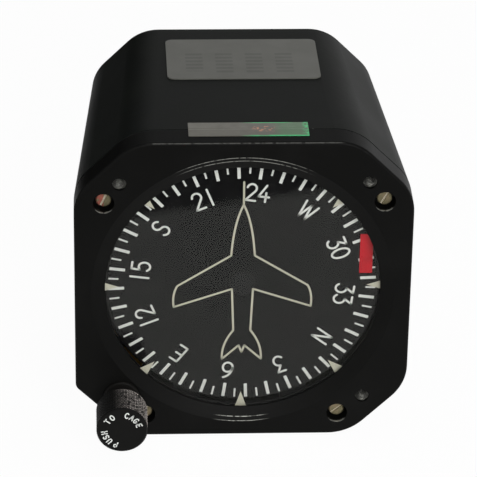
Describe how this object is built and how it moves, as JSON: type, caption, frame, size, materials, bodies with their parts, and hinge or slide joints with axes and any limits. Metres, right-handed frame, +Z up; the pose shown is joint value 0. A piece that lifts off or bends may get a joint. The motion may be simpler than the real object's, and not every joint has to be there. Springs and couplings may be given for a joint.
{
  "type": "directional gyro",
  "caption": "Panel directional gyro: square black bezel with cut corners, turning compass card under glass, caging knob, tapered case and rear connector.",
  "frame": {"origin": "centre of the bezel's front face, which lies against the back of the panel", "axes": "+X right as the pilot sees the dial, +Y forward into the panel, along the case, +Z up"},
  "size_m": [0.0858, 0.1045, 0.086],
  "materials": {
    "case_paint": "semi-gloss black enamel",
    "bezel_paint": "semi-gloss black enamel",
    "ring_black": "black anodised",
    "gasket": "matte",
    "glass": "clear, polished",
    "gold_screws": "gold cadmium plate",
    "steel": "machined",
    "aluminium": "machined",
    "brass": "machined",
    "card_paint": "matte black with white marks",
    "knob_black": "black anodised, knurled",
    "flag_red": "matte red",
    "plate_grey": "printed grey foil",
    "seal_foil": "silver film with a green and pink sheen",
    "connector_finish": "olive cadmium plate",
    "insulator": "moulded",
    "windings": "laminations and copper wire"
  },
  "bodies": {
    "casing": {"bezel": "bezel_paint", "mounting_inserts": "steel", "window_glass": "glass", "retaining_ring": "ring_black", "case_gasket": "gasket", "case_shell": "case_paint", "rear_cover": "case_paint", "bezel_screws": "gold_screws", "rear_cover_screws": "steel", "connector_shell": "connector_finish", "connector_insert": "insulator", "connector_pins": "brass", "connector_screws": "steel", "data_plate": "plate_grey", "tamper_seal": "seal_foil", "front_plate": "aluminium", "plate_posts": "aluminium", "plate_screws": "steel", "card_bearings": "steel", "upper_frame_arm": "aluminium", "lower_frame_arm": "aluminium", "gimbal_bearings": "steel", "brush_block": "insulator", "idler_stud": "steel", "knob_bush": "brass", "knob_spring": "steel", "spring_bracket": "aluminium", "lever_bracket": "aluminium", "lever_pin": "steel", "flag_coil": "windings"},
    "card": {"heading_card": "card_paint", "card_hub": "card_paint", "card_screws": "steel", "card_shaft": "steel", "setting_gear": "brass", "card_bevel_gear": "brass"},
    "idler": {"idler_gear": "brass"},
    "outer_gimbal": {"gimbal_bevel_gear": "brass", "gimbal_ring": "aluminium", "gimbal_trunnions": "steel", "caging_disc": "aluminium", "slip_rings": "brass", "tilt_bearings": "steel"},
    "inner_gimbal": {"rotor_housing": "aluminium", "housing_cover": "aluminium", "housing_screws": "steel", "tilt_pivots": "steel", "rotor_bearings": "steel", "motor_stator": "windings"},
    "rotor": {"rotor_wheel": "brass", "rotor_shaft": "steel"},
    "knob_slide": {"caging_collar": "steel"},
    "knob": {"knob": "knob_black", "knob_setscrew": "steel", "knob_shaft": "steel", "setting_pinion": "steel", "shaft_clips": "steel"},
    "caging_lever": {"caging_lever": "steel"},
    "warning_flag": {"warning_flag": "flag_red", "flag_shaft": "steel"}
  },
  "joints": [
    {"name": "gimbal_turn", "type": "hinge", "parent": "casing", "child": "outer_gimbal", "pos_m": [0, 0.04195, 0], "axis": [0, 0, 1], "continuous": true},
    {"name": "card_turn", "type": "hinge", "parent": "casing", "child": "card", "pos_m": [0, 0.01, 0], "axis": [0, 1, 0], "continuous": true},
    {"name": "idler_turn", "type": "hinge", "parent": "casing", "child": "idler", "pos_m": [-0.02382, 0.013, -0.01723], "axis": [0, 1, 0], "continuous": true},
    {"name": "gimbal_tilt", "type": "hinge", "parent": "outer_gimbal", "child": "inner_gimbal", "pos_m": [0, 0.04195, 0], "axis": [1, 0, 0], "range_deg": [-55, 55]},
    {"name": "rotor_spin", "type": "hinge", "parent": "inner_gimbal", "child": "rotor", "pos_m": [0, 0.04195, 0], "axis": [0, 1, 0], "continuous": true},
    {"name": "knob_push", "type": "slide", "parent": "casing", "child": "knob_slide", "axis": [0, 1, 0], "range_m": [0, 0.004], "stiffness_N_per_m": 400, "springref_m": -0.003, "deforming": ["knob_spring"]},
    {"name": "knob_turn", "type": "hinge", "parent": "knob_slide", "child": "knob", "pos_m": [-0.0311, 0, -0.0308], "axis": [0, 1, 0], "continuous": true},
    {"name": "caging_swing", "type": "hinge", "parent": "casing", "child": "caging_lever", "pos_m": [-0.0266, 0.01925, -0.0198], "axis": [1, 0, 0], "range_deg": [0, 20.93]},
    {"name": "flag_swing", "type": "hinge", "parent": "casing", "child": "warning_flag", "pos_m": [0.0363, 0.0044, 0.0183], "axis": [0, -1, 0], "range_deg": [0, 20], "stiffness_Nm_per_rad": 0.0002, "springref_deg": -17.19}
  ],
  "couplings": [
    {"joint": "card_turn", "follows": "gimbal_turn", "ratio": 1},
    {"joint": "idler_turn", "follows": "gimbal_turn", "ratio": -1.3333},
    {"joint": "caging_swing", "follows": "knob_push", "rad_per_m": 90.909}
  ]
}
